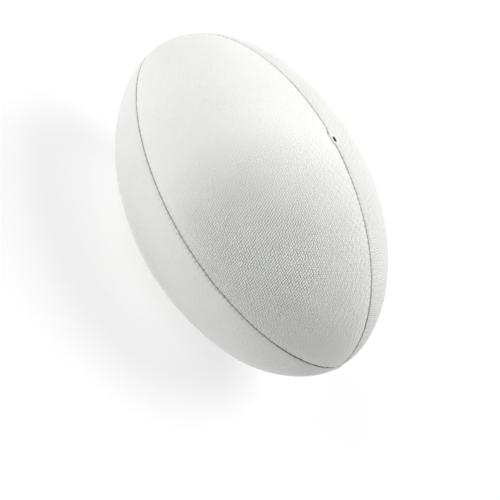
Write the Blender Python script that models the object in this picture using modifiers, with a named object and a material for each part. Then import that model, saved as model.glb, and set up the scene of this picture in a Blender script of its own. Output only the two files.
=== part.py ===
"""A sewn four-panel rugby ball, lying along X with its inflation valve on top.

Metres, +Z up. The origin is the middle of the ball. The four seams run from end to end
in the planes Y = 0 and Z = 0. The valve sits beside the top seam, in a small tab of the
rear top panel that reaches over the seam line.

From the outside in: rubber face, two fabric plies, the bladder with its valve.
"""

import math

import bmesh
import bpy

# Driving dimensions
LENGTH = 0.290
DIAMETER = 0.187
LENGTH_POWER = 1.967     # 2 and 2 would make the outline a true ellipse
GIRTH_POWER = 1.875      # under 2 gives the slightly pointed ends

GAP = 0.0003             # clearance between pieces that touch
RUBBER_THICK = 0.0012
PLY_THICK = 0.0005
BLADDER_THICK = 0.0007
PATCH_THICK = 0.0008

SEAM_HALF = 0.0007       # half the channel between two neighbouring panels
THREAD_DIAMETER = 0.0008
THREAD_DEPTH = 0.0009    # of the thread's centre, below the surface
THREAD_END_RADIUS = 0.002

LIP_ROOT_DEPTH = 0.0004  # where the turned-in edges start, within the rubber face
LIP_PARTS = 7            # profile parts that the turned-in edges run to each side of the girth
LIP_CLEAR_PARTS = 1      # and that they are cut away to each side of the valve

VALVE_X = 0.001
VALVE_Y = 0.0027
MOUTH_RADIUS = 0.002     # of the hole in the rubber face
TAB_REACH = 0.0024       # how far the tab reaches over the seam line
TAB_LENGTH = 0.0165
STEM_RADIUS = 0.003
FLANGE_RADIUS = 0.008
FLANGE_THICK = 0.001
FLANGE_DROP = 0.0014     # of the flat flange, below the curved patch over it
STEM_END_DEPTH = 0.0130
STEM_HOLE_CLEAR = 0.0004
CORE_RADIUS = 0.0017
CORE_DROP = 0.0004       # of the core's top, below the stem's
CORE_END_DEPTH = 0.0105
NEEDLE_RADIUS = 0.0005
LINING_PATCH_RADIUS = 0.016
VALVE_PATCH_RADIUS = 0.013
BALANCE_RADIUS = 0.0125
BALANCE_THICK = 0.0024

# How finely the turned shapes are divided
PROFILE_PARTS = 20
QUARTER_STEPS = 8
THREAD_PARTS = 34
TAB_PARTS = 8

# Worked out from the above: the depth of each layer's outer face
PLY_OUTER_DEPTH = RUBBER_THICK + GAP
PLY_INNER_DEPTH = PLY_OUTER_DEPTH + PLY_THICK + GAP
LINING_PATCH_DEPTH = PLY_INNER_DEPTH + PLY_THICK + GAP
LIP_DEPTH = LINING_PATCH_DEPTH + PLY_THICK
BLADDER_DEPTH = LIP_DEPTH + 2 * GAP
VALVE_PATCH_DEPTH = BLADDER_DEPTH + BLADDER_THICK + GAP
STEM_TOP_DEPTH = RUBBER_THICK + 3 * GAP
FLANGE_DEPTH = VALVE_PATCH_DEPTH + PATCH_THICK + FLANGE_DROP

PLY_SEAM_HALF = SEAM_HALF + RUBBER_THICK + GAP
STEM_HOLE_RADIUS = STEM_RADIUS + STEM_HOLE_CLEAR
TAB_ARC_RADIUS = ((TAB_LENGTH / 2) ** 2 + TAB_REACH ** 2) / (2 * TAB_REACH)
TAB_ARC_Y = TAB_ARC_RADIUS - TAB_REACH

# Each quarter of the ball, by the turn about X that brings it from +Y +Z to its place
QUARTERS = {
    "rear_top": 0,
    "front_top": 1,
    "front_bottom": 2,
    "rear_bottom": 3,
}
# Each seam, by the turn about X that brings it from +Y to its place
SEAMS = {"rear": 0, "top": 1, "front": 2, "bottom": 3}


def collection(name):
    made = bpy.data.collections.new(name)
    bpy.context.scene.collection.children.link(made)
    return made


def material(name, color, roughness):
    made = bpy.data.materials.new(name)
    made.use_nodes = True
    shader = made.node_tree.nodes["Principled BSDF"]
    shader.inputs["Base Color"].default_value = (*color, 1.0)
    shader.inputs["Roughness"].default_value = roughness
    shader.inputs["Metallic"].default_value = 0.0
    return made


def add_part(name, data, finish, turns=0):
    """One sub-part, turned about X by quarter turns and hung on the ball's empty."""
    part = bpy.data.objects.new(name, data)
    ball_parts.objects.link(part)
    part.rotation_euler.x = turns * math.pi / 2
    part.parent = ball
    data.materials.append(finish)
    return part


def as_cutter(obj):
    """Keeps an object for Booleans only."""
    for holder in list(obj.users_collection):
        holder.objects.unlink(obj)
    cutters.objects.link(obj)
    obj.hide_render = True
    obj.display_type = "WIRE"
    return obj


def boolean(part, operation, cutter):
    step = part.modifiers.new(operation.lower(), "BOOLEAN")
    step.operation = operation
    step.solver = "EXACT"
    step.object = cutter


def outline_point(angle, depth):
    """X and radius of the outline at a depth below the surface; angle 0 is the girth."""
    across = math.sin(angle)
    around = max(math.cos(angle), 0.0)
    x = (LENGTH / 2 - depth) * math.copysign(abs(across) ** (2 / LENGTH_POWER), across)
    radius = (DIAMETER / 2 - depth) * around ** (2 / GIRTH_POWER)
    return x, radius


def outline_radius(x, depth):
    share = (abs(x) / (LENGTH / 2 - depth)) ** LENGTH_POWER
    return (DIAMETER / 2 - depth) * (1 - share) ** (1 / GIRTH_POWER)


def outline(depth):
    """Points from the +X end to the -X end."""
    angles = [math.pi * (0.5 - i / PROFILE_PARTS) for i in range(PROFILE_PARTS + 1)]
    return [outline_point(angle, depth) for angle in angles]


def turned(name, points, finish, steps, angle=2 * math.pi, start=0.0):
    """A profile of (X, radius) points, swept about X by a Screw modifier."""
    mesh = bpy.data.meshes.new(name)
    corners = [(x, r * math.cos(start), r * math.sin(start)) for x, r in points]
    edges = [(i, i + 1) for i in range(len(corners) - 1)]
    mesh.from_pydata(corners, edges, [])
    part = add_part(name, mesh, finish)
    sweep = part.modifiers.new("sweep", "SCREW")
    sweep.axis = "X"
    sweep.angle = angle
    sweep.steps = steps
    sweep.render_steps = steps
    sweep.use_merge_vertices = True
    sweep.merge_threshold = 0.00001
    sweep.use_smooth_shade = True
    return part


def wall(part, thickness):
    """Gives an open surface its thickness, inwards."""
    solidify = part.modifiers.new("wall", "SOLIDIFY")
    solidify.thickness = thickness
    solidify.offset = -1.0
    solidify.use_even_offset = True


def layer(name, depth, thickness, finish):
    """A little more than a quarter of a shell, from +Y to +Z, ready to be trimmed."""
    step = math.pi / 2 / QUARTER_STEPS
    part = turned(
        name,
        outline(depth),
        finish,
        QUARTER_STEPS + 2,
        angle=math.pi / 2 + 2 * step,
        start=-step,
    )
    wall(part, thickness)
    return part


def box_cutter(name, size, middle, turns=0):
    bpy.ops.mesh.primitive_cube_add(size=1.0)
    cutter = bpy.context.object
    cutter.name = name
    for corner in cutter.data.vertices:
        corner.co.x = corner.co.x * size[0] + middle[0]
        corner.co.y = corner.co.y * size[1] + middle[1]
        corner.co.z = corner.co.z * size[2] + middle[2]
    cutter.rotation_euler.x = turns * math.pi / 2
    return as_cutter(cutter)


def post_cutter(name, radius, x, y, side=1):
    """An upright cylinder through the top of the ball, or through its underside."""
    bpy.ops.mesh.primitive_cylinder_add(
        vertices=32,
        radius=radius,
        depth=DIAMETER / 3,
        location=(x, y, side * DIAMETER / 2),
    )
    cutter = bpy.context.object
    cutter.name = name
    return as_cutter(cutter)


def quarter_cutter(name, inset, turns):
    """A box that keeps one quarter of the ball, an inset away from both seam planes."""
    side = DIAMETER
    middle = (0.0, inset + side / 2, inset + side / 2)
    return box_cutter(name, (1.2 * LENGTH, side, side), middle, turns)


def lip_plate(name, first, last, turns, side):
    """The turned-in edge along one seam: a flat strip beside the seam plane.

    first and last count profile parts from the girth, towards +X. side is +1 for the lip
    just past the seam plane and -1 for the one before it.
    """
    angles = [math.pi * i / PROFILE_PARTS for i in range(first, last + 1)]
    top = [outline_point(angle, LIP_ROOT_DEPTH) for angle in angles]
    bottom = [outline_point(angle, LIP_DEPTH) for angle in angles]
    flat = bpy.data.curves.new(name, "CURVE")
    flat.dimensions = "2D"
    flat.fill_mode = "BOTH"
    thick = 2 * RUBBER_THICK
    flat.extrude = thick / 2
    edge = flat.splines.new("POLY")
    corners = top + bottom[::-1]
    edge.points.add(len(corners) - 1)
    for point, corner in zip(edge.points, corners):
        point.co = (*corner, 0.0, 1.0)
    edge.use_cyclic_u = True
    curve = bpy.data.objects.new(name, flat)
    cutters.objects.link(curve)
    inner_face = SEAM_HALF + RUBBER_THICK
    offset = side * (inner_face - thick / 2)
    turn = turns * math.pi / 2
    curve.rotation_euler.x = turn
    curve.location = (0.0, -math.sin(turn) * offset, math.cos(turn) * offset)
    return as_cutter(meshed(curve))


def meshed(curve):
    """A mesh object in place of a curve, so that Booleans can use it."""
    name = curve.name
    bpy.context.view_layer.update()
    graph = bpy.context.evaluated_depsgraph_get()
    mesh = bpy.data.meshes.new_from_object(curve.evaluated_get(graph))
    shape = bmesh.new()
    shape.from_mesh(mesh)
    bmesh.ops.remove_doubles(shape, verts=shape.verts, dist=0.00001)
    shape.to_mesh(mesh)
    shape.free()
    made = bpy.data.objects.new(name + "_mesh", mesh)
    cutters.objects.link(made)
    made.matrix_world = curve.matrix_world.copy()
    bpy.data.objects.remove(curve)
    return made


def lips(part, turns):
    """Turned-in edges along both seams of a panel; the top seam's stop at the valve."""
    for seam, side in ((turns, 1), (turns + 1, -1)):
        spans = [(-LIP_PARTS, LIP_PARTS)]
        if seam % 4 == SEAMS["top"]:
            spans = [(-LIP_PARTS, -LIP_CLEAR_PARTS), (LIP_CLEAR_PARTS, LIP_PARTS)]
        for number, (first, last) in enumerate(spans):
            name = f"{part.name}_lip_{seam % 4}_{number}"
            boolean(part, "UNION", lip_plate(name, first, last, seam, side))


def rubber_panel(place, turns):
    """A rubber face with its edges turned in; the two top panels are shaped round the tab."""
    part = layer(f"panel_{place}", 0.0, RUBBER_THICK, white_rubber)
    part.rotation_euler.x = turns * math.pi / 2
    lips(part, turns)
    keep = quarter_cutter(f"{part.name}_keep", SEAM_HALF, turns)
    if place == "rear_top":
        tab = post_cutter("tab_shape", TAB_ARC_RADIUS - SEAM_HALF, VALVE_X, TAB_ARC_Y)
        boolean(keep, "UNION", tab)
    boolean(part, "INTERSECT", keep)
    if place == "front_top":
        notch = post_cutter("tab_notch", TAB_ARC_RADIUS + SEAM_HALF, VALVE_X, TAB_ARC_Y)
        boolean(part, "DIFFERENCE", notch)
    if place == "rear_top":
        mouth = post_cutter("mouth_hole", MOUTH_RADIUS, VALVE_X, VALVE_Y)
        boolean(part, "DIFFERENCE", mouth)


def fabric_ply(name, depth, turns):
    part = layer(name, depth, PLY_THICK, cotton)
    part.rotation_euler.x = turns * math.pi / 2
    boolean(part, "INTERSECT", quarter_cutter(f"{name}_keep", PLY_SEAM_HALF, turns))
    if turns == QUARTERS["rear_top"]:
        boolean(part, "DIFFERENCE", stem_hole)


def tab_spot(angle):
    """X and sideways place on the arc round the tab, at an angle from its middle."""
    x = VALVE_X + TAB_ARC_RADIUS * math.sin(angle)
    return x, TAB_ARC_RADIUS * math.cos(angle) - TAB_ARC_Y


def seam_thread(place, turns):
    """The thread that closes one seam, as a tube along the channel between two panels."""
    route = bpy.data.curves.new(f"seam_thread_{place}", "CURVE")
    route.dimensions = "3D"
    route.bevel_depth = THREAD_DIAMETER / 2
    route.bevel_resolution = 1
    route.use_fill_caps = True
    last = math.acos((THREAD_END_RADIUS / (DIAMETER / 2)) ** (GIRTH_POWER / 2))
    steps = [2 * i / THREAD_PARTS - 1 for i in range(THREAD_PARTS + 1)]
    plan = [(outline_point(last * step, THREAD_DEPTH)[0], 0.0) for step in steps]
    if turns == SEAMS["top"]:
        half = math.asin(TAB_LENGTH / 2 / TAB_ARC_RADIUS)
        turns_round = [half * (2 * i / TAB_PARTS - 1) for i in range(TAB_PARTS + 1)]
        reach = TAB_LENGTH / 2 + THREAD_DIAMETER
        before = [spot for spot in plan if spot[0] < VALVE_X - reach]
        after = [spot for spot in plan if spot[0] > VALVE_X + reach]
        plan = before + [tab_spot(angle) for angle in turns_round] + after
    line = route.splines.new("POLY")
    line.points.add(len(plan) - 1)
    for point, (x, aside) in zip(line.points, plan):
        radius = outline_radius(x, THREAD_DEPTH)
        point.co = (x, math.sqrt(radius ** 2 - aside ** 2), aside, 1.0)
    add_part(route.name, route, waxed_thread, turns)


def shell_disc(name, depth, thickness, radius, x, y, side, finish):
    """A round patch cut from a shell, on top of the ball or, with side -1, under it."""
    part = layer(name, depth, thickness, finish)
    turn = math.pi / 4 if side > 0 else -3 * math.pi / 4
    part.rotation_euler.x = turn
    boolean(part, "INTERSECT", post_cutter(f"{name}_keep", radius, x, y, side))
    return part


def bladder_shell():
    part = turned("bladder", outline(BLADDER_DEPTH), bladder_rubber, 4 * QUARTER_STEPS)
    wall(part, BLADDER_THICK)
    boolean(part, "DIFFERENCE", stem_hole)


def upright(name, points, finish, sides):
    """A small turned piece on the valve's axis, from (depth, radius) points."""
    top = DIAMETER / 2
    profile = [(-(top - depth), radius) for depth, radius in points]
    part = turned(name, profile, finish, sides)
    part.location = (VALVE_X, VALVE_Y, 0.0)
    part.rotation_euler = (0.0, math.pi / 2, 0.0)
    return part


def valve():
    bore = CORE_RADIUS + GAP
    upright(
        "valve_body",
        [
            (STEM_END_DEPTH, 0.0),
            (STEM_END_DEPTH, STEM_RADIUS),
            (FLANGE_DEPTH + FLANGE_THICK, STEM_RADIUS),
            (FLANGE_DEPTH + FLANGE_THICK, FLANGE_RADIUS),
            (FLANGE_DEPTH, FLANGE_RADIUS),
            (FLANGE_DEPTH, STEM_RADIUS),
            (STEM_TOP_DEPTH, STEM_RADIUS),
            (STEM_TOP_DEPTH, bore),
            (CORE_END_DEPTH + GAP, bore),
            (CORE_END_DEPTH + GAP, 0.0),
        ],
        black_rubber,
        24,
    )
    core_top = STEM_TOP_DEPTH + CORE_DROP
    upright(
        "valve_core",
        [
            (CORE_END_DEPTH, NEEDLE_RADIUS),
            (CORE_END_DEPTH, CORE_RADIUS),
            (core_top, CORE_RADIUS),
            (core_top, NEEDLE_RADIUS),
            (CORE_END_DEPTH, NEEDLE_RADIUS),
        ],
        black_rubber,
        16,
    )


for old in list(bpy.data.objects):
    bpy.data.objects.remove(old)
ball_parts = collection("rugby_ball")
cutters = collection("cutters")
ball = bpy.data.objects.new("ball_middle", None)
ball_parts.objects.link(ball)

white_rubber = material("white_rubber", (0.80, 0.79, 0.76), 0.62)
cotton = material("cotton", (0.78, 0.74, 0.64), 0.9)
waxed_thread = material("waxed_thread", (0.62, 0.60, 0.55), 0.6)
bladder_rubber = material("bladder_rubber", (0.13, 0.12, 0.11), 0.55)
black_rubber = material("black_rubber", (0.03, 0.03, 0.03), 0.5)

stem_hole = post_cutter("stem_hole", STEM_HOLE_RADIUS, VALVE_X, VALVE_Y)
for quarter, quarter_turns in QUARTERS.items():
    rubber_panel(quarter, quarter_turns)
    fabric_ply(f"ply_outer_{quarter}", PLY_OUTER_DEPTH, quarter_turns)
    fabric_ply(f"ply_inner_{quarter}", PLY_INNER_DEPTH, quarter_turns)
for seam_place, seam_turns in SEAMS.items():
    seam_thread(seam_place, seam_turns)
bladder_shell()
valve()
lining_patch = shell_disc(
    "valve_lining_patch",
    LINING_PATCH_DEPTH,
    PLY_THICK,
    LINING_PATCH_RADIUS,
    VALVE_X,
    VALVE_Y,
    1,
    cotton,
)
boolean(lining_patch, "DIFFERENCE", stem_hole)
valve_patch = shell_disc(
    "valve_patch",
    VALVE_PATCH_DEPTH,
    PATCH_THICK,
    VALVE_PATCH_RADIUS,
    VALVE_X,
    VALVE_Y,
    1,
    bladder_rubber,
)
boolean(valve_patch, "DIFFERENCE", stem_hole)
shell_disc(
    "balance_patch",
    VALVE_PATCH_DEPTH,
    BALANCE_THICK,
    BALANCE_RADIUS,
    -VALVE_X,
    -VALVE_Y,
    -1,
    bladder_rubber,
)
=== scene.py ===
"""Looks of a sewn four-panel rugby ball with a pimpled rubber face.

Each panel is a flat pimpled sheet, laid on the ball along its middle line, with its edges
rolled in at the seams. A thread crosses every seam from side to side, and the valve's
mouth is pierced through a tab of one panel that reaches over the top seam.
"""

import math

import bmesh
import bpy
import numpy as np
from mathutils import Matrix, Vector


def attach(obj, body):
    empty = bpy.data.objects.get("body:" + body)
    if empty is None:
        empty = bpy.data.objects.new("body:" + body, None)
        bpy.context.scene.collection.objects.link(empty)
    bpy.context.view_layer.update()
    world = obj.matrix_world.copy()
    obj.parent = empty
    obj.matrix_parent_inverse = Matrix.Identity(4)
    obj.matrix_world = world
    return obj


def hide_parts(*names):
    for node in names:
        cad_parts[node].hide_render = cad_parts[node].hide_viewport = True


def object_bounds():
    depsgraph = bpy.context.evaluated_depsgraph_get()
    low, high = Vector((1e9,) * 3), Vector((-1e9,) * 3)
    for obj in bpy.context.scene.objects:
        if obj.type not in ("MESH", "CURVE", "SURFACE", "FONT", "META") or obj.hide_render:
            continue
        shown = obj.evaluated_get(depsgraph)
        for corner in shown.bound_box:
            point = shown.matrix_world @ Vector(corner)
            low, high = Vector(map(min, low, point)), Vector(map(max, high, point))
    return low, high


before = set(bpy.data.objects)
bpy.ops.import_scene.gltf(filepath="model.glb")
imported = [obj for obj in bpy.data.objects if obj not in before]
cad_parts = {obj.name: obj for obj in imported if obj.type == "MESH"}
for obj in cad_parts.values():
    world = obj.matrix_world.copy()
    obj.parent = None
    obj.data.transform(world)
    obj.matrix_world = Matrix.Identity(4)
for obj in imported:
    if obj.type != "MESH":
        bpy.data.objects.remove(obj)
cad_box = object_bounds()

# Lengths are in metres and angles in radians, unless a comment says otherwise

# The ball's outline, as in its design
HALF_LENGTH = 0.145
HALF_GIRTH = (cad_box[1].z - cad_box[0].z) / 2
LENGTH_POWER = 1.967
GIRTH_POWER = 1.875
OUTLINE_POINTS = 4001
SLOPE_STEP = 1e-4         # to either side of an outline angle, to find the slope there
SMALLEST_RADIUS = 1e-5    # stands in for the radius of 0 at the ball's ends

# How a flat sheet is laid on the ball
BEND_ROUNDS = 4
BEND_LIMIT = 1.2          # turn up to which the rows across the sheet bend to the girth
BEND_FADE_FROM = 0.7      # outline angle from which they bend less
BEND_FADE_OVER = 0.8
WIDEST_TURN = 1.5
SPARE_WIDTH = 0.012       # of the flat sheet before it is cut to its panel's outline

# The pimpled face
PITCH = 0.0018            # from pimple to pimple, in staggered rows
ROW = PITCH * math.sin(math.pi / 3)
PIMPLE_RADIUS = 0.00049
PIMPLE_HEIGHT = 0.00056
CROWN = 0.3               # share of its height that a pimple's middle stands over its rim
TOP_INSET = PITCH / 5     # of a pimple's top in its cell, before the top is rounded
CELL_MIDDLE = 0.75        # of a slanted cell, in pitches from its corner
OFF_MIDDLE = 0.10         # share of the pitch that a pimple may be off that middle
BASE_DEPTH = 0.00020      # of the face between the pimples
EDGE_LEVEL = 0.15         # share of the pimples' height that is left in the rolled edges
UNEVEN = 0.25             # share by which pimples differ in size and height
SIZE_SEED, ALONG_SEED, ACROSS_SEED, HEIGHT_SEED = 1, 2, 3, 4
# What the uneven but steady values of the cells are made with
SCATTER_STEPS = (12.9898, 78.233, 37.719)
SCATTER_SCALE = 43758.5453

# How the rows of pimples stray: how far, and two waves each for along and for across the
# sheet, with a wave's lengths in both directions and the sign of the panel's own phase
WANDER = 0.00055
RIPPLE = 0.00020
LONG_WAVES = (
    ((math.inf, 0.0061, 1), (0.0083, -0.012, 1)),
    ((0.0072, math.inf, -1), (0.013, 0.0094, 0)),
)
SHORT_WAVES = (
    ((0.00071, 0.0019, 1), (-0.0016, 0.00083, -1)),
    ((0.0021, 0.00077, -1), (0.00089, -0.0014, 1)),
)
PANEL_PHASE = 2.0
PANEL_SHIFT = 7           # divides the pitch into the shifts between the panels' rows

# The seams
ROLL = 0.0007             # radius that a panel's edge is rolled to
HALF_GAP = 0.00022
TIGHT_WITHIN = 0.006      # radius within which the rolled edges close up towards the ends
TIGHTEST = 0.3            # share of the roll and the gap that is left there
EDGE_DEPTH = 0.0024       # how far the rolled edge goes in
WALL = 0.0012
WALL_COLUMNS = 72
WALL_ROWS = 12
WALL_SHORT = 0.006        # from the ball's end to the back of the sheet
TIP = 0.0004              # from the ball's end to the tip of a panel
BOW_POWER = 16            # keeps a seam's push nearly whole up to the ends, where it is 0
TOP_SHIFT = -0.0011       # of the top seam, towards +Y
FRONT_SAG = 0.0008        # of the front seam, downwards in the middle
SAG_LENGTH = 0.055
SAG_MIDDLE = 0.025
PUCKER = 0.00030          # depth that a stitch draws the face in by
PUCKER_WIDTH = 0.0024
PULL_POWER = 3            # narrows the stretch that a stitch pulls on
DIP = 0.00030             # depth of the hollow all along a seam
DIP_WIDTH = 0.0050
SWELL = 0.0019            # of the lower panels near the +X end
SWELL_X = 0.112
SWELL_LENGTH = 0.030

# The seam threads
STITCH = 0.0041           # along the seam, from one crossing of the thread to the next
STEPS_A_STITCH = 8
THREAD_RADIUS = 0.00036
THREAD_SHORT = 0.003      # from the ball's end to the end of a thread
THREAD_SWING = 0.0011     # to either side of the seam
THREAD_DIVE = 0.0014      # depth that it goes down by between two crossings
CROSSING_DEPTH = 0.00055
TURN_RADIUS = 0.002       # least radius that the swing is turned into an angle with

# The painted shade at the edges of the seams and the painted shadow beside the stitches
END_FROM = 0.100          # where the painted shade of the seams' edges starts to grow stronger towards the ends
END_LENGTH = 0.030
END_DARKER = 2
PAINTED_SHADOW_X = 0.040          # middle and half-length of the stretch with the most painted shadow beside the stitches
PAINTED_SHADOW_LENGTH = 0.055
PAINTED_SHADOW_WIDTH = 0.0026     # of the painted shadow beside each stitch
PAINTED_SHADOW_BY_PANEL = {"front_bottom": 1.0}
PAINTED_SHADOW_ELSEWHERE = 0.4
LEAST_PAINTED_SHADOW = 0.2          # share that is there outside that stretch

# The valve and its tab
VALVE_X = 0.001
VALVE_Y = 0.0032
MOUTH_LONG = 0.0022       # half of the mouth's length, along the seam
MOUTH_SHORT = 0.0014
MOUTH_SIDES = 32
BACK_SIDES = 12           # of the hole in the back of the sheet
LIP_RADIUS = 0.0004
LIP_BENDS = (math.pi / 6, math.pi / 3, math.pi / 2)
DARK_WITHIN = 1.1         # shares of the mouth's size, for what is done around it
SMOOTH_WITHIN = 1.4
CUT_WITHIN = 1.9
BACK_CUT_WITHIN = 8.0
WELD = 1e-7               # distance within which a cut keeps to a corner
TAB_START = -0.0072
TAB_LENGTH = 0.0160
TAB_REACH = 0.0019
TAB_PEAK = 3.08           # brings the peak of the tab's curve to its reach
TAB_ENDS = (-0.0052, 0.0071)
TAB_STITCH = 0.0011       # radius of the painted shadow around the stitch at each end of the tab
TAB_PAINTED_SHADOW = 1.4

# Each panel, by the turn about +X of its middle line from +Y
PANELS = {
    "rear_top": math.pi / 4,
    "front_top": 3 * math.pi / 4,
    "front_bottom": 5 * math.pi / 4,
    "rear_bottom": 7 * math.pi / 4,
}
# The seam behind each panel and the one ahead of it, in the direction of the turn
BESIDE = {
    "rear_top": ("rear", "top"),
    "front_top": ("top", "front"),
    "front_bottom": ("front", "bottom"),
    "rear_bottom": ("bottom", "rear"),
}
SEAMS = {"rear": 0.0, "top": math.pi / 2, "front": math.pi, "bottom": 3 * math.pi / 2}
# Share of the pimples' height on the panels that are worn all over
LOW_GRAIN = {"front_bottom": 0.38, "rear_bottom": 0.6, "rear_top": 0.6}
# The part of each panel where the grain shows most, and the size of that part along each axis;
# there the colour has a painted highlight on the pimple tops and painted shade in the valleys
STRONG_GRAIN_AT = {
    "rear_top": (-0.030, 0.075, 0.045),
    "front_top": (0.060, -0.068, 0.045),
    "front_bottom": (-0.020, -0.040, -0.085),
    "rear_bottom": (0.030, 0.065, -0.060),
}
STRONG_GRAIN_SIZE = (0.085, 0.075, 0.075)
# On the front top panel the pimples are lower away from that part: at these distances
# from its middle, in shares of its size, they have these shares of their height
GRAIN_AWAY = (0.4, 1.2)
GRAIN_LEVELS = (1.0, 0.35)

# Colours
UPPER_COLOR = (0.88, 0.882, 0.86)
# painted shade: the rear top panel's rubber is darker so that its brightly lit part comes out
# less bright
SHADED_REAR_TOP_COLOR = (0.83, 0.832, 0.815)
LOWER_COLOR = (0.86, 0.86, 0.855)
FACE_COLORS = {
    "rear_top": SHADED_REAR_TOP_COLOR,
    "front_top": UPPER_COLOR,
    "front_bottom": LOWER_COLOR,
    "rear_bottom": LOWER_COLOR,
}
TOP_HIGHLIGHT_COLOR = (0.965, 0.967, 0.94, 1.0)      # painted highlight: lighter rubber where the grain shows most, which the pimple tops keep
# painted shade in the valleys between the pimples
VALLEY_SHADE_COLOR = (0.12, 0.12, 0.11, 1.0)
# painted shade of the seam grooves and the valve's mouth, and painted shadow beside the
# stitches
SEAM_SHADE_COLOR = (0.045, 0.045, 0.042, 1.0)
SOIL_COLOR = (0.45, 0.43, 0.38, 1.0)
CLOTH_GAP_COLOR = (0.30, 0.27, 0.21, 1.0)
THREAD_COLOR = (0.40, 0.39, 0.36)
VALVE_COLOR = (0.010, 0.010, 0.010)
COTTON_COLOR = (0.66, 0.62, 0.52)
LATEX_COLOR = (0.10, 0.095, 0.09)
FLOOR_COLOR = (0.45, 0.45, 0.45)
WHITE = (1, 1, 1, 1)

# How rough each surface is, and how much soil it carries
RUBBER_ROUGH, RUBBER_SOIL = 0.48, 0.05
THREAD_ROUGH, THREAD_SOIL = 0.55, 0.3
VALVE_ROUGH, VALVE_SOIL = 0.5, 0.01
COTTON_ROUGH, COTTON_SOIL = 0.85, 0.12
LATEX_ROUGH, LATEX_SOIL = 0.45, 0.1
FLOOR_ROUGH = 0.9
BUMP, BUMP_DEPTH = 0.3, 0.00005
CLOTH_BUMP, CLOTH_DEPTH = 0.6, 0.0002

# The noises in the materials: scale, detail and roughness of each
BROAD_NOISE = (14.0, 3.0, 0.5)
SPECK_NOISE = (900.0, 4.0, 0.7)
FINE_NOISE = (2600.0, 3.0, 0.6)
PATCH_NOISE = (30.0, 3.0, 0.5)

# Ranges that values in the materials are taken from, and brought to
WHOLE = (0.0, 1.0)
TURNED = (1.0, 0.0)
BROAD_RANGE = (0.38, 0.70)
SPECK_RANGE = (0.55, 0.80)
SHEEN_RANGE = (0.92, 1.12)
STRONG_GRAIN_RANGE = (0.30, 1.10)      # distances from the middle of the part where the grain shows most
PATCH_RANGE = (0.3, 0.7)
PATCH_SHARES = (0.75, 1.1)
VALLEY_SHADE_SHARES = (0.05, 0.95)     # painted shade in the valleys: away from the part where the grain shows most, and in its middle
VALLEY_RANGE = (0.0, 0.55)     # heights on a pimple that count as its valley
# painted shadow beside the stitches, from none to the most
PAINTED_SHADOW_SHARES = (0.0, 0.50)
# depths in the roll over which the seam edges take painted shade
FOLD_RANGE = (0.22, 0.85)
PULL_RANGE = (0.0, 0.4)
LINE_SHARES = (0.76, 1.0)      # darkness of the painted shade in a seam's edge between the stitches and at them
WEAVE_SCALE = 260.0            # a thread about every 1.2 mm
WEAVE_BEND = 0.6
WEAVE_DETAIL = 1.0
CLOTH_RANGE = (0.2, 0.8)
CLOTH_SHARES = (0.55, 0.0)

# The camera; its angles are in degrees and the lens and the sensor in millimetres
CAMERA_AZIMUTH = 14.43
CAMERA_ELEVATION = 36.66
CAMERA_ROLL = -53.14
CAMERA_AIM = (0.0321, -0.0056, -0.0180)
CAMERA_DISTANCE = 1.1005
CAMERA_REACH = 20.0
SENSOR = 36.0
LENS = 102.47

# The lights: azimuth and elevation in degrees, distance, side and watts of each
SOFTBOXES = {
    "softbox_back": (162, 58, 2.0, 1.6, 42),
    "softbox_side": (-44, 34, 2.0, 1.6, 28),
}
WORLD_STRENGTH = 0.08
FLOOR_HALF = 6.0
FLOOR_GLOW = 0.57


# --- the ball's surface -------------------------------------------------------------


def outline(angle):
    """X and radius of the outline; the angle is 0 at the girth and a right angle at +X."""
    across = np.sin(angle)
    around = np.maximum(np.cos(angle), 0.0)
    x = HALF_LENGTH * np.sign(across) * np.abs(across) ** (2 / LENGTH_POWER)
    return x, HALF_GIRTH * around ** (2 / GIRTH_POWER)


MERIDIAN = np.linspace(-math.pi / 2, math.pi / 2, OUTLINE_POINTS)
ALONG = np.concatenate(
    [[0.0], np.cumsum(np.hypot(*[np.diff(part) for part in outline(MERIDIAN)]))]
)
HALF_ARC = ALONG[-1] / 2


def angle_at(arc):
    """Outline angle at an arc length from the girth, towards +X."""
    return np.interp(arc + HALF_ARC, ALONG, MERIDIAN)


def arc_at(angle):
    """Arc length from the girth, towards +X, at an outline angle."""
    return np.interp(angle, MERIDIAN, ALONG) - HALF_ARC


def normal_at(angle):
    """X and radial parts of the outward normal of the outline."""
    low = np.clip(angle - SLOPE_STEP, -math.pi / 2, math.pi / 2)
    high = np.clip(angle + SLOPE_STEP, -math.pi / 2, math.pi / 2)
    x_low, r_low = outline(low)
    x_high, r_high = outline(high)
    run = np.hypot(x_high - x_low, r_high - r_low)
    return (r_low - r_high) / run, (x_high - x_low) / run


def place(angle, turn, depth):
    """Points at an outline angle and a turn about +X, a depth below the surface."""
    x, radius = outline(angle)
    normal_x, normal_r = normal_at(angle)
    inner = radius - depth * normal_r
    return np.stack(
        [x - depth * normal_x, inner * np.cos(turn), inner * np.sin(turn)], axis=-1
    )


def tab_reach(x):
    """How far the top seam's line is pushed towards -Y by the valve's tab."""
    share = np.clip((x - TAB_START) / TAB_LENGTH, 0.0, 1.0)
    return TAB_REACH * TAB_PEAK * share**0.5 * (1 - share) ** 1.5


def seam_push(seam, x):
    """How far a seam's line is off its meridian, in the direction of the turn."""
    bow = np.maximum(1 - (x / HALF_LENGTH) ** BOW_POWER, 0.0)
    if seam == "top":
        return tab_reach(x) + TOP_SHIFT * bow
    if seam == "front":
        return FRONT_SAG * np.cos((x - SAG_MIDDLE) / SAG_LENGTH) * bow
    return 0.0 * x


# --- a panel ------------------------------------------------------------------------


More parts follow.
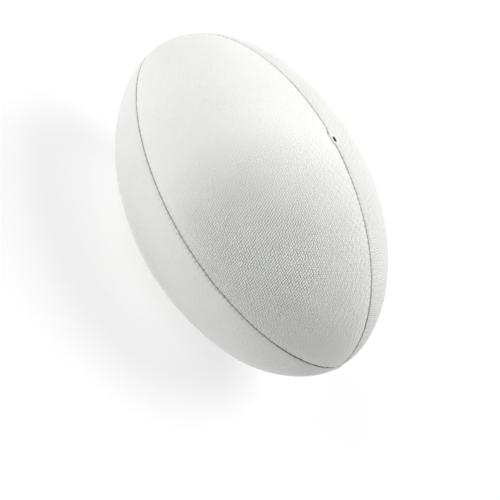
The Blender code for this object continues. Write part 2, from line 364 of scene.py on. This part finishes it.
def sheet_to_surface(along, across):
    """Outline angle and turn from the panel's middle line, for points of the flat sheet."""
    base = angle_at(along)
    turn = across / np.maximum(outline(base)[1], SMALLEST_RADIUS)
    far = np.clip((np.abs(base) - BEND_FADE_FROM) / BEND_FADE_OVER, 0.0, 1.0)
    for _ in range(BEND_ROUNDS):
        weight = 0.5 * (1 - np.cos(np.clip(turn, -BEND_LIMIT, BEND_LIMIT))) * (1 - far)
        angle = np.arcsin(np.sin(base) * (1 - weight))
        radius = np.maximum(outline((angle + base) / 2)[1], SMALLEST_RADIUS)
        turn = np.clip(across / radius, -WIDEST_TURN, WIDEST_TURN)
    return angle, turn


def drawn_in(along):
    """Arc lengths kept from passing the ends of the ball; they crowd up to TIP before it."""
    knee = HALF_ARC - 2 * TIP
    over = np.maximum(np.abs(along) - knee, 0.0)
    crowded = knee + TIP * (1 - np.exp(-over / TIP / 2))
    return np.where(over > 0, np.sign(along) * crowded, along)


def seam_gaps(name, angle, turn):
    """Distance to the seam ahead and to the seam behind, and how far each is pushed."""
    x, radius = outline(angle)
    ahead = radius * (math.pi / 4 - turn)
    behind = radius * (math.pi / 4 + turn)
    push_ahead = seam_push(BESIDE[name][1], x)
    push_behind = -seam_push(BESIDE[name][0], x)
    return ahead + push_ahead, behind + push_behind, push_ahead, push_behind


def rolled(gap, tight):
    """Distance from the seam's line, and depth, of sheet that is rolled in at a seam.

    tight is the share of the usual roll and gap, which are smaller at the ball's ends.
    """
    roll = ROLL * tight
    past = (HALF_GAP + ROLL) * tight - gap
    curl = np.clip(past / roll, 0.0, math.pi / 2)
    straight = np.maximum(past - roll * math.pi / 2, 0.0)
    away = np.where(past > 0, HALF_GAP * tight + roll * (1 - np.sin(curl)), gap)
    depth = roll * (1 - np.cos(curl)) + straight
    return away, np.where(past > 0, depth, 0.0)


def seam_relief(gap, along):
    """Depth of the hollow along a seam, drawn in a little at each stitch."""
    gap = np.maximum(gap, 0.0)
    hollow = DIP * np.exp(-((gap / DIP_WIDTH) ** 2))
    return hollow + PUCKER * stitch_wave(along) * np.exp(-((gap / PUCKER_WIDTH) ** 2))


def stitch_pull(name, flat):
    """Painted shadow beside each stitch: 1 there, fading to 0 away from the seams and between
    the stitches.
    """
    angle, turn = sheet_to_surface(flat[:, 0], flat[:, 1])
    ahead, behind, _, _ = seam_gaps(name, angle, turn)
    gap = np.minimum(ahead, behind)
    x = outline(angle)[0]
    most = PAINTED_SHADOW_BY_PANEL.get(name, PAINTED_SHADOW_ELSEWHERE)
    shadow_share = most * np.exp(-(((x - PAINTED_SHADOW_X) / PAINTED_SHADOW_LENGTH) ** 2))
    pull = stitch_wave(arc_at(angle)) * np.exp(-((gap / PAINTED_SHADOW_WIDTH) ** 2))
    pull = pull * (LEAST_PAINTED_SHADOW + (1 - LEAST_PAINTED_SHADOW) * shadow_share)
    if name == "rear_top":
        for tab_end in TAB_ENDS:
            away = np.hypot(x - tab_end, ahead)
            pull = np.maximum(pull, TAB_PAINTED_SHADOW * np.exp(-((away / TAB_STITCH) ** 2)))
    return pull


def stitch_wave(along):
    """1 where the thread pulls on the sheet and 0 midway between."""
    return (0.5 + 0.5 * np.cos(2 * math.pi * along / STITCH)) ** PULL_POWER


def mouth_reach(x, y):
    """Distance from the valve's middle, as a share of the mouth's size on that side."""
    return np.hypot((x - VALVE_X) / MOUTH_LONG, (y - VALVE_Y) / MOUTH_SHORT)


def wrap_sheet(name, middle, flat, height):
    """Points on the ball for points of the flat sheet, and how far each is rolled in.

    height is 0 for the face between the pimples and 1 for the rim of a pimple's top. How
    far a point is rolled in is its depth in the seam, as a share of the roll's radius.
    """
    angle, turn = sheet_to_surface(drawn_in(flat[:, 0]), flat[:, 1])
    ahead, behind, push_ahead, push_behind = seam_gaps(name, angle, turn)
    x, radius = outline(angle)
    radius = np.maximum(radius, SMALLEST_RADIUS)
    tight = np.clip(radius / TIGHT_WITHIN, TIGHTEST, 1.0)
    away_ahead, depth_ahead = rolled(ahead, tight)
    away_behind, depth_behind = rolled(behind, tight)
    limit = math.sin(math.pi / 4)
    lean_ahead = np.arcsin(np.clip((away_ahead - push_ahead) / radius, -limit, limit))
    lean_behind = np.arcsin(np.clip((away_behind - push_behind) / radius, -limit, limit))
    turn_ahead = math.pi / 4 - lean_ahead
    turn_behind = lean_behind - math.pi / 4
    near = (HALF_GAP + ROLL) * tight
    turn = np.where(ahead < near, turn_ahead, np.where(behind < near, turn_behind, turn))
    folded = depth_ahead + depth_behind
    along = arc_at(angle)
    depth = folded + BASE_DEPTH + seam_relief(ahead, along) + seam_relief(behind, along)
    level = np.clip((np.minimum(ahead, behind) + ROLL) / (2 * ROLL), EDGE_LEVEL, 1.0)
    points = place(angle, middle + turn, 0.0)
    if name == "front_top":
        away = np.linalg.norm((points - STRONG_GRAIN_AT[name]) / STRONG_GRAIN_SIZE, axis=-1)
        level *= np.interp(away, GRAIN_AWAY, GRAIN_LEVELS)
    if name == "rear_top":
        reach = mouth_reach(points[:, 0], points[:, 1])
        level *= np.clip(reach - SMOOTH_WITHIN, 0.0, 1.0)
    depth -= height * level * PIMPLE_HEIGHT
    if "bottom" in name:
        swell = np.exp(-(((x - SWELL_X) / SWELL_LENGTH) ** 2))
        depth -= SWELL * swell * np.cos(2 * np.clip(turn, -math.pi / 4, math.pi / 4)) ** 2
    return place(angle, middle + turn, depth), folded / (ROLL * tight)


def wave_sum(along, across, own, waves):
    """The sum of some waves over the sheet, which start at the panel's own phase."""
    return sum(
        np.sin(along / length_along + across / length_across + sign * own)
        for length_along, length_across, sign in waves
    )


def laid(name, flat):
    """The sheet's rows stray a little, and each panel is cut from its own part of it."""
    own = PANEL_PHASE * list(PANELS).index(name)
    along = flat[:, 0] + own * PITCH / PANEL_SHIFT
    across = flat[:, 1]
    moved = []
    for start, long_waves, short_waves in zip((along, across), LONG_WAVES, SHORT_WAVES):
        wander = WANDER * wave_sum(along, across, own, long_waves) / 2
        ripple = RIPPLE * wave_sum(along, across, own, short_waves)
        moved.append(start + wander + ripple)
    return np.stack(moved, axis=-1)


def flat_sheet(name):
    """A flat sheet in the panel's outline: a slanted grid of cells, one pimple in each."""
    rows = 4 * int((HALF_GIRTH * math.pi / 2 + SPARE_WIDTH) / ROW / 4 + 1)
    lean = rows // 2
    columns = 2 * int(HALF_ARC / PITCH + 1)
    sheet = bmesh.new()
    bmesh.ops.create_grid(sheet, x_segments=columns + lean, y_segments=rows, size=0.5)
    slant = Matrix.Identity(4)
    slant[0][0] = (columns + lean) * PITCH
    slant[1][1] = rows * ROW
    slant[0][1] = rows * PITCH / 2
    bmesh.ops.transform(sheet, matrix=slant, verts=sheet.verts)
    flat = laid(name, np.array([corner.co[:2] for corner in sheet.verts]))
    angle, turn = sheet_to_surface(drawn_in(flat[:, 0]), flat[:, 1])
    ahead, behind, _, _ = seam_gaps(name, angle, turn)
    past = EDGE_DEPTH - ROLL + ROLL * math.pi / 2 - HALF_GAP - ROLL
    inside = (np.minimum(ahead, behind) > -past) & (np.abs(flat[:, 0]) < HALF_ARC + PITCH / 2)
    for corner, kept in zip(sheet.verts, inside):
        corner.tag = bool(kept)
    outside = [f for f in sheet.faces if not all(corner.tag for corner in f.verts)]
    bmesh.ops.delete(sheet, geom=outside, context="FACES")
    islands_off(sheet)
    return sheet


def islands_off(sheet):
    """Deletes all but the largest connected part."""
    left = set(sheet.faces)
    parts = []
    while left:
        start = left.pop()
        part = [start]
        front = [start]
        while front:
            face = front.pop()
            for edge in face.edges:
                for other in edge.link_faces:
                    if other in left:
                        left.remove(other)
                        part.append(other)
                        front.append(other)
        parts.append(part)
    parts.sort(key=len)
    stray = [face for part in parts[:-1] for face in part]
    if stray:
        bmesh.ops.delete(sheet, geom=stray, context="FACES")


def scatter(along, across, seed):
    """A steady but uneven value from -1 to 1 for each cell of the grid."""
    mixed_up = along * SCATTER_STEPS[0] + across * SCATTER_STEPS[1] + seed * SCATTER_STEPS[2]
    wild = np.sin(mixed_up) * SCATTER_SCALE
    return 2 * (wild - np.floor(wild)) - 1


def round_tops(flat, height):
    """Rounds the top of each slanted cell, and gives no two pimples quite the same form.

    The corners of a top are moved in place; the heights, which differ a little, are returned.
    """
    tops = height > 0.5
    rims = tops & (height < 1 + CROWN / 2)
    across = flat[:, 1] / ROW
    along = flat[:, 0] / PITCH - across / 2
    cell = (np.floor(along), np.floor(across))
    farther = along > cell[0] + 0.5
    # Which way each corner of a top goes from its middle
    quarter = np.where(
        across > cell[1] + 0.5,
        np.where(farther, math.pi / 6, 2 * math.pi / 3),
        np.where(farther, -math.pi / 3, -5 * math.pi / 6),
    )
    size = PIMPLE_RADIUS * (1 + UNEVEN * scatter(*cell, SIZE_SEED))
    middle_x = (cell[0] + cell[1] / 2 + CELL_MIDDLE) * PITCH
    middle_y = (cell[1] + 0.5) * ROW
    middle_x += OFF_MIDDLE * PITCH * scatter(*cell, ALONG_SEED)
    middle_y += OFF_MIDDLE * PITCH * scatter(*cell, ACROSS_SEED)
    flat[:, 0] = np.where(tops, middle_x, flat[:, 0])
    flat[:, 1] = np.where(tops, middle_y, flat[:, 1])
    flat[:, 0] += np.where(rims, size * np.cos(quarter), 0.0)
    flat[:, 1] += np.where(rims, size * np.sin(quarter), 0.0)
    return height * (1 + UNEVEN * scatter(*cell, HEIGHT_SEED) * tops)


def near_mouth(point, share):
    """Whether a point of the upper half is within a share of the mouth's size."""
    return point.z > 0 and mouth_reach(point.x, point.y) < share


def once(found):
    """What is found, without repeats and in the order of finding, which is always the same."""
    return list(dict.fromkeys(found))


def cut_around(shape, faces, margin, sides):
    """Cuts faces along an oval a margin outside the mouth and deletes those within it.

    Returns the edges around the hole.
    """
    rim_long = MOUTH_LONG + margin
    rim_short = MOUTH_SHORT + margin
    rest = set(shape.faces) - set(faces)
    for i in range(sides):
        turn = 2 * math.pi * i / sides
        out = Vector((math.cos(turn) / rim_long, math.sin(turn) / rim_short, 0.0))
        spot = Vector(
            (VALVE_X + rim_long * math.cos(turn), VALVE_Y + rim_short * math.sin(turn), 0.0)
        )
        faces = [f for f in shape.faces if f not in rest]
        around = faces + once(e for f in faces for e in f.edges)
        around += once(v for f in faces for v in f.verts)
        bmesh.ops.bisect_plane(
            shape, geom=around, dist=WELD, plane_co=spot, plane_no=out.normalized()
        )
    inner = []
    for face in shape.faces:
        if face not in rest:
            middle = face.calc_center_median()
            off_x = (middle.x - VALVE_X) / rim_long
            off_y = (middle.y - VALVE_Y) / rim_short
            if math.hypot(off_x, off_y) < 1:
                inner.append(face)
    edges = once(e for f in inner for e in f.edges)
    loop = [e for e in edges if any(face not in inner for face in e.link_faces)]
    bmesh.ops.delete(shape, geom=inner, context="FACES")
    return [e for e in loop if e.is_valid and e.is_boundary]


def pierce_mouth(shape):
    """Cuts the valve's mouth through the panel's face and turns its rim in.

    Returns the edges at the bottom of the mouth.
    """
    faces = [f for f in shape.faces if near_mouth(f.calc_center_median(), CUT_WITHIN)]
    edges = cut_around(shape, faces, LIP_RADIUS, MOUTH_SIDES)
    rim_long = MOUTH_LONG + LIP_RADIUS
    rim_short = MOUTH_SHORT + LIP_RADIUS
    top = max(v.co.z for e in edges for v in e.verts)
    rings = [
        (LIP_RADIUS * (1 - math.sin(bend)), LIP_RADIUS * (1 - math.cos(bend)))
        for bend in LIP_BENDS
    ]
    rings.append((0.0, WALL))
    for proud, depth in rings:
        made = bmesh.ops.extrude_edge_only(shape, edges=edges)["geom"]
        edges = [e for e in made if isinstance(e, bmesh.types.BMEdge) and e.is_boundary]
        for v in once(v for e in edges for v in e.verts):
            way = math.atan2((v.co.y - VALVE_Y) / rim_short, (v.co.x - VALVE_X) / rim_long)
            v.co.x = VALVE_X + (MOUTH_LONG + proud) * math.cos(way)
            v.co.y = VALVE_Y + (MOUTH_SHORT + proud) * math.sin(way)
            v.co.z = top - depth
    return edges


def inner_wall(shape, name, middle, rim, mouth):
    """Closes the panel with the back of the sheet, joined to the rolled edge all round."""
    made = bmesh.ops.create_grid(
        shape, x_segments=WALL_COLUMNS, y_segments=WALL_ROWS, size=1.0
    )
    corners = made["verts"]
    end = HALF_ARC - WALL_SHORT
    for corner in corners:
        angle = float(angle_at(corner.co.x * end))
        x, radius = outline(angle)
        margin = (HALF_GAP + ROLL) / float(radius)
        low = -math.pi / 4 + margin + float(seam_push(BESIDE[name][0], x) / radius)
        high = math.pi / 4 - margin + float(seam_push(BESIDE[name][1], x) / radius)
        turn = low + (high - low) * (corner.co.y + 1) / 2
        corner.co = Vector(place(angle, middle + turn, WALL + BASE_DEPTH))
    edges = once(e for v in corners for e in v.link_edges)
    border = [e for e in edges if e.is_boundary]
    bmesh.ops.bridge_loops(shape, edges=border + rim)
    if mouth:
        wall = once(f for v in corners for f in v.link_faces)
        under = [f for f in wall if near_mouth(f.calc_center_median(), BACK_CUT_WITHIN)]
        hole = cut_around(shape, under, LIP_RADIUS / 2, BACK_SIDES)
        bmesh.ops.bridge_loops(shape, edges=hole + mouth)


def rubber_panel(name, middle, finish):
    """One panel: a pimpled sheet with rolled edges, closed by the back of the sheet."""
    sheet = flat_sheet(name)
    tops = sheet.faces[:]
    bmesh.ops.inset_individual(sheet, faces=tops, thickness=TOP_INSET, depth=PIMPLE_HEIGHT)
    bmesh.ops.poke(sheet, faces=tops, offset=CROWN * PIMPLE_HEIGHT)
    mesh = bpy.data.meshes.new(f"panel_{name}_face")
    sheet.to_mesh(mesh)
    sheet.free()
    points = np.empty(len(mesh.vertices) * 3, np.float32)
    mesh.vertices.foreach_get("co", points)
    points = points.reshape(-1, 3).astype(float)
    height = np.abs(points[:, 2]) / PIMPLE_HEIGHT
    flat = points[:, :2]
    shaped = round_tops(flat, height) * LOW_GRAIN.get(name, 1.0)
    sheet_points = laid(name, flat)
    wrapped, folded = wrap_sheet(name, middle, sheet_points, shaped)
    mesh.vertices.foreach_set("co", wrapped.astype(np.float32).ravel())
    keep_values(mesh, "rise", np.clip(height, 0.0, 1.0))
    # Painted shade in the seam grooves: darker deeper in the roll and nearer the ends
    ends = np.clip((np.abs(wrapped[:, 0]) - END_FROM) / END_LENGTH, 0.0, 1.0)
    keep_values(mesh, "fold", np.clip(folded * (1 + END_DARKER * ends), 0.0, 1.0))
    # Painted shadow beside the stitches
    keep_values(mesh, "pull", stitch_pull(name, sheet_points))
    mesh.update()
    shape = bmesh.new()
    shape.from_mesh(mesh)
    mouth = pierce_mouth(shape) if name == "rear_top" else []
    rim = [e for e in shape.edges if e.is_boundary and e not in mouth]
    # Painted shade: around the valve's mouth fold and pull are set to 1, so the mouth takes
    # the dark seam colour
    if mouth:
        dark = [shape.verts.layers.float[title] for title in ("fold", "pull")]
        for v in shape.verts:
            if near_mouth(v.co, DARK_WITHIN):
                for layer in dark:
                    v[layer] = 1.0
    inner_wall(shape, name, middle, rim, mouth)
    bmesh.ops.recalc_face_normals(shape, faces=shape.faces)
    shape.to_mesh(mesh)
    shape.free()
    return finished(mesh, finish, f"panel_{name}")


def keep_values(mesh, name, values):
    """Stores one value for each corner of a mesh, for its material to read."""
    kept = mesh.attributes.new(name, "FLOAT", "POINT")
    kept.data.foreach_set("value", values.astype(np.float32))


def finished(mesh, finish, node):
    """Puts a mesh in the scene as the piece that stands for a CAD node.

    The threads are smooth; the panels are flat, so that their pimples are crisp.
    """
    if node.startswith("seam_thread"):
        mesh.shade_smooth()
    else:
        mesh.shade_flat()
    mesh.materials.append(finish)
    piece = bpy.data.objects.new(mesh.name, mesh)
    bpy.context.scene.collection.objects.link(piece)
    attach(piece, "root")
    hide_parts(node)
    return piece


# --- the seam threads ---------------------------------------------------------------


def seam_thread(name, turn, finish):
    """A thread that crosses its seam at every stitch and dives into the panels between."""
    end = HALF_ARC - THREAD_SHORT
    stitches = int(2 * end / STITCH)
    count = stitches * STEPS_A_STITCH
    along = (np.arange(count + 1) / STEPS_A_STITCH - stitches / 2) * STITCH
    swing = np.cos(math.pi * (along / STITCH + 0.5))
    angle = angle_at(along)
    x, radius = outline(angle)
    aside = THREAD_SWING * swing + seam_push(name, x)
    depth = CROSSING_DEPTH + DIP + THREAD_DIVE * np.abs(swing) ** 2
    points = place(angle, turn + aside / np.maximum(radius, TURN_RADIUS), depth)
    line = bpy.data.curves.new(f"seam_thread_{name}_stitches", "CURVE")
    line.dimensions = "3D"
    line.bevel_depth = THREAD_RADIUS
    line.bevel_resolution = 1
    line.use_fill_caps = True
    spline = line.splines.new("POLY")
    spline.points.add(len(points) - 1)
    for spot, point in zip(spline.points, points):
        spot.co = (*point, 1.0)
    holder = bpy.data.objects.new(line.name, line)
    bpy.context.scene.collection.objects.link(holder)
    bpy.context.view_layer.update()
    graph = bpy.context.evaluated_depsgraph_get()
    mesh = bpy.data.meshes.new_from_object(holder.evaluated_get(graph))
    bpy.data.objects.remove(holder)
    mesh.name = f"seam_thread_{name}_stitches"
    return finished(mesh, finish, f"seam_thread_{name}")


# --- materials ----------------------------------------------------------------------


def plain_material(name, color, roughness):
    """A material of one colour."""
    made = bpy.data.materials.new(name)
    made.use_nodes = True
    shader = made.node_tree.nodes["Principled BSDF"]
    shader.inputs["Base Color"].default_value = (*color, 1.0)
    shader.inputs["Roughness"].default_value = roughness
    return made


def add_node(tree, kind, **settings):
    """A new node of a tree, with its settings."""
    made = tree.nodes.new(kind)
    for name, value in settings.items():
        setattr(made, name, value)
    return made


def feed(tree, socket, value):
    """Gives a node's input a value, or joins it to a socket that has the value."""
    if isinstance(value, bpy.types.NodeSocket):
        tree.links.new(value, socket)
    else:
        socket.default_value = value


def noise(tree, place_from, kind):
    """An uneven value at each place; its kind is a scale, a detail and a roughness."""
    made = add_node(tree, "ShaderNodeTexNoise")
    for title, value in zip(("Scale", "Detail", "Roughness"), kind):
        made.inputs[title].default_value = value
    tree.links.new(place_from, made.inputs["Vector"])
    return made.outputs["Fac"]


def spread(tree, value, taken_from, brought_to=WHOLE):
    """A value brought from one range to another."""
    made = add_node(tree, "ShaderNodeMapRange")
    ends = (*taken_from, *brought_to)
    for title, end in zip(("From Min", "From Max", "To Min", "To Max"), ends):
        made.inputs[title].default_value = end
    tree.links.new(value, made.inputs["Value"])
    return made.outputs["Result"]


def mixed(tree, share, first, second):
    """Two colours mixed; each is a colour or a socket, and so is the share."""
    made = add_node(tree, "ShaderNodeMix", data_type="RGBA")
    feed(tree, made.inputs[0], share)
    feed(tree, made.inputs[6], first)
    feed(tree, made.inputs[7], second)
    return made.outputs[2]


def maths(tree, operation, first, second):
    """The result of an operation on two values or sockets."""
    made = add_node(tree, "ShaderNodeMath", operation=operation)
    feed(tree, made.inputs[0], first)
    feed(tree, made.inputs[1], second)
    return made.outputs[0]


def new_group(name, inputs, outputs):
    """A node group with its inputs and outputs; returns its tree and those two nodes."""
    tree = bpy.data.node_groups.new(name, "ShaderNodeTree")
    for title, kind, value in inputs:
        socket = tree.interface.new_socket(title, in_out="INPUT", socket_type=kind)
        if value is not None:
            socket.default_value = value
    for title, kind in outputs:
        tree.interface.new_socket(title, in_out="OUTPUT", socket_type=kind)
    return tree, add_node(tree, "NodeGroupInput"), add_node(tree, "NodeGroupOutput")


def handling_group():
    """Uneven colour and sheen left by handling, over the whole of a surface."""
    tree, given, out = new_group(
        "handling",
        [
            ("Place", "NodeSocketVector", None),
            ("Color", "NodeSocketColor", None),
            ("Soil Color", "NodeSocketColor", SOIL_COLOR),
            ("Soil", "NodeSocketFloat", None),
            ("Roughness", "NodeSocketFloat", None),
        ],
        [
            ("Color", "NodeSocketColor"),
            ("Roughness", "NodeSocketFloat"),
            ("Height", "NodeSocketFloat"),
        ],
    )
    spot = given.outputs["Place"]
    broad = spread(tree, noise(tree, spot, BROAD_NOISE), BROAD_RANGE)
    specks = spread(tree, noise(tree, spot, SPECK_NOISE), SPECK_RANGE)
    soil = maths(tree, "MULTIPLY", maths(tree, "ADD", broad, specks), given.outputs["Soil"])
    color = mixed(tree, soil, given.outputs["Color"], given.outputs["Soil Color"])
    tree.links.new(color, out.inputs["Color"])
    sheen = spread(tree, broad, WHOLE, SHEEN_RANGE)
    rough = maths(tree, "MULTIPLY", sheen, given.outputs["Roughness"])
    tree.links.new(rough, out.inputs["Roughness"])
    tree.links.new(noise(tree, spot, FINE_NOISE), out.inputs["Height"])
    return tree


def finish_with(name, color, roughness, soil, bump=BUMP, bump_depth=BUMP_DEPTH):
    """A material with the handling group in place; returns it with its tree and its parts."""
    made = bpy.data.materials.new(name)
    made.use_nodes = True
    tree = made.node_tree
    shader = tree.nodes["Principled BSDF"]
    spot = add_node(tree, "ShaderNodeTexCoord").outputs["Object"]
    handled = add_node(tree, "ShaderNodeGroup", node_tree=HANDLING)
    tree.links.new(spot, handled.inputs["Place"])
    handled.inputs["Color"].default_value = (*color, 1.0)
    handled.inputs["Soil"].default_value = soil
    handled.inputs["Roughness"].default_value = roughness
    relief = add_node(tree, "ShaderNodeBump")
    relief.inputs["Strength"].default_value = bump
    relief.inputs["Distance"].default_value = bump_depth
    tree.links.new(handled.outputs["Height"], relief.inputs["Height"])
    tree.links.new(relief.outputs["Normal"], shader.inputs["Normal"])
    tree.links.new(handled.outputs["Roughness"], shader.inputs["Roughness"])
    tree.links.new(handled.outputs["Color"], shader.inputs["Base Color"])
    return made, tree, shader, handled, relief


def face_rubber(panel, color):
    """White rubber with painted shade in the valleys between its pimples, a painted highlight
    on their tops, and painted shade and shadow at its seam edges.

    The panel's mesh gives the height on a pimple as rise, how far the sheet is rolled in at
    a seam as fold, and the painted shadow beside the stitches as pull.
    """
    made, tree, shader, handled, _ = finish_with(
        f"face_rubber_{panel}", color, RUBBER_ROUGH, RUBBER_SOIL
    )
    rise, fold, pull = [
        add_node(tree, "ShaderNodeAttribute", attribute_name=title).outputs["Fac"]
        for title in ("rise", "fold", "pull")
    ]
    # Painted highlight on the pimple tops and painted shade in the valleys between them,
    # strongest in the part where the grain shows most
    spot = add_node(tree, "ShaderNodeTexCoord").outputs["Object"]
    shift = add_node(tree, "ShaderNodeMapping")
    shift.inputs["Location"].default_value = STRONG_GRAIN_AT[panel]
    shift.inputs["Scale"].default_value = STRONG_GRAIN_SIZE
    shift.vector_type = "TEXTURE"
    tree.links.new(spot, shift.inputs["Vector"])
    far = add_node(tree, "ShaderNodeVectorMath", operation="LENGTH")
    tree.links.new(shift.outputs["Vector"], far.inputs[0])
    weight = spread(tree, far.outputs["Value"], STRONG_GRAIN_RANGE, TURNED)
    patches = spread(tree, noise(tree, spot, PATCH_NOISE), PATCH_RANGE, PATCH_SHARES)
    patchy = maths(tree, "MULTIPLY", weight, patches)
    amount = spread(tree, patchy, WHOLE, VALLEY_SHADE_SHARES)
    valley = maths(tree, "MULTIPLY", spread(tree, rise, VALLEY_RANGE, TURNED), amount)
    lit_tops = mixed(tree, weight, handled.outputs["Color"], TOP_HIGHLIGHT_COLOR)
    valley_shaded = mixed(tree, valley, lit_tops, VALLEY_SHADE_COLOR)
    # Painted shadow beside the stitches, and painted shade in the rolled seam edges, darker at
    # the stitches
    pucker_shadow = spread(tree, pull, WHOLE, PAINTED_SHADOW_SHARES)
    stitched = spread(tree, pull, PULL_RANGE, LINE_SHARES)
    line = maths(tree, "MULTIPLY", spread(tree, fold, FOLD_RANGE), stitched)
    edge = maths(tree, "MAXIMUM", line, pucker_shadow)
    dark = mixed(tree, edge, valley_shaded, SEAM_SHADE_COLOR)
    tree.links.new(dark, shader.inputs["Base Color"])
    return made


def woven_cotton(name, color):
    """Cotton cloth whose threads run along the ball and around it."""
    made, tree, shader, handled, relief = finish_with(
        name, color, COTTON_ROUGH, COTTON_SOIL, CLOTH_BUMP, CLOTH_DEPTH
    )
    spot = add_node(tree, "ShaderNodeTexCoord").outputs["Object"]
    threads = []
    for way in ("X", "Z"):
        wave = add_node(tree, "ShaderNodeTexWave", bands_direction=way)
        wave.inputs["Scale"].default_value = WEAVE_SCALE
        wave.inputs["Distortion"].default_value = WEAVE_BEND
        wave.inputs["Detail"].default_value = WEAVE_DETAIL
        tree.links.new(spot, wave.inputs["Vector"])
        threads.append(wave.outputs["Fac"])
    cloth = maths(tree, "MAXIMUM", *threads)
    tree.links.new(cloth, relief.inputs["Height"])
    gaps = spread(tree, cloth, CLOTH_RANGE, CLOTH_SHARES)
    shade = mixed(tree, gaps, handled.outputs["Color"], CLOTH_GAP_COLOR)
    tree.links.new(shade, shader.inputs["Base Color"])
    return made


HANDLING = handling_group()


# --- the studio ---------------------------------------------------------------------


def toward(azimuth, elevation):
    """Direction from the ball; the azimuth is 0 on the -Y side and grows towards +X."""
    return Vector(
        (
            math.sin(azimuth) * math.cos(elevation),
            -math.cos(azimuth) * math.cos(elevation),
            math.sin(elevation),
        )
    )


def camera():
    """Long lens from in front and above, rolled so that the ball stands on its +X end."""
    azimuth = math.radians(CAMERA_AZIMUTH)
    roll = math.radians(CAMERA_ROLL)
    back = toward(azimuth, math.radians(CAMERA_ELEVATION))
    level_right = Vector((math.cos(azimuth), math.sin(azimuth), 0.0))
    level_up = back.cross(level_right)
    up = level_up * math.cos(roll) + level_right * math.sin(roll)
    right = up.cross(back)
    data = bpy.data.cameras.new("camera")
    data.sensor_width = SENSOR
    data.lens = LENS
    data.clip_end = CAMERA_REACH
    eye = bpy.data.objects.new("camera", data)
    bpy.context.scene.collection.objects.link(eye)
    turned = Matrix((right, up, back)).transposed().to_4x4()
    eye.matrix_world = Matrix.Translation(Vector(CAMERA_AIM) + CAMERA_DISTANCE * back) @ turned
    bpy.context.scene.camera = eye


def softbox(name, azimuth, elevation, distance, side, watts):
    """A square soft light aimed at the ball; azimuth and elevation as for a view of it."""
    back = toward(math.radians(azimuth), math.radians(elevation))
    data = bpy.data.lights.new(name, "AREA")
    data.shape = "SQUARE"
    data.size = side
    data.energy = watts
    lamp = bpy.data.objects.new(name, data)
    bpy.context.scene.collection.objects.link(lamp)
    lamp.location = back * distance
    lamp.rotation_euler = back.to_track_quat("Z", "Y").to_euler()


def studio():
    """Two soft lights, a dim white world and a bright floor that the ball rests on."""
    world = bpy.data.worlds.new("studio")
    bpy.context.scene.world = world
    world.use_nodes = True
    sky = world.node_tree.nodes["Background"]
    sky.inputs["Color"].default_value = WHITE
    sky.inputs["Strength"].default_value = WORLD_STRENGTH
    for name, setup in SOFTBOXES.items():
        softbox(name, *setup)
    floor = bmesh.new()
    bmesh.ops.create_grid(floor, x_segments=1, y_segments=1, size=FLOOR_HALF)
    mesh = bpy.data.meshes.new("floor")
    floor.to_mesh(mesh)
    floor.free()
    plane = bpy.data.objects.new("floor", mesh)
    plane.location.z = -HALF_GIRTH
    paint = plain_material("floor_paint", FLOOR_COLOR, FLOOR_ROUGH)
    shader = paint.node_tree.nodes["Principled BSDF"]
    shader.inputs["Specular IOR Level"].default_value = 0.0
    shader.inputs["Emission Color"].default_value = WHITE
    shader.inputs["Emission Strength"].default_value = FLOOR_GLOW
    mesh.materials.append(paint)
    bpy.context.scene.collection.objects.link(plane)
    bpy.context.scene.view_settings.view_transform = "Standard"


camera()
studio()
thread_finish = finish_with("thread_wax", THREAD_COLOR, THREAD_ROUGH, THREAD_SOIL)[0]
for panel, middle_turn in PANELS.items():
    rubber_panel(panel, middle_turn, face_rubber(panel, FACE_COLORS[panel]))
for seam, seam_turn in SEAMS.items():
    seam_thread(seam, seam_turn, thread_finish)
black_rubber = finish_with("valve_rubber", VALVE_COLOR, VALVE_ROUGH, VALVE_SOIL)[0]
cotton = woven_cotton("ply_cotton", COTTON_COLOR)
bladder_rubber = finish_with("bladder_latex", LATEX_COLOR, LATEX_ROUGH, LATEX_SOIL)[0]
# The finish of each inner piece, by the start of its node's name
INNER_FINISHES = {
    "ply_": cotton,
    "valve_lining": cotton,
    "bladder": bladder_rubber,
    "balance": bladder_rubber,
    "valve_patch": bladder_rubber,
    "valve_body": black_rubber,
    "valve_core": black_rubber,
}
for node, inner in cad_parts.items():
    for start, inner_finish in INNER_FINISHES.items():
        if node.startswith(start):
            inner.data.materials.clear()
            inner.data.materials.append(inner_finish)
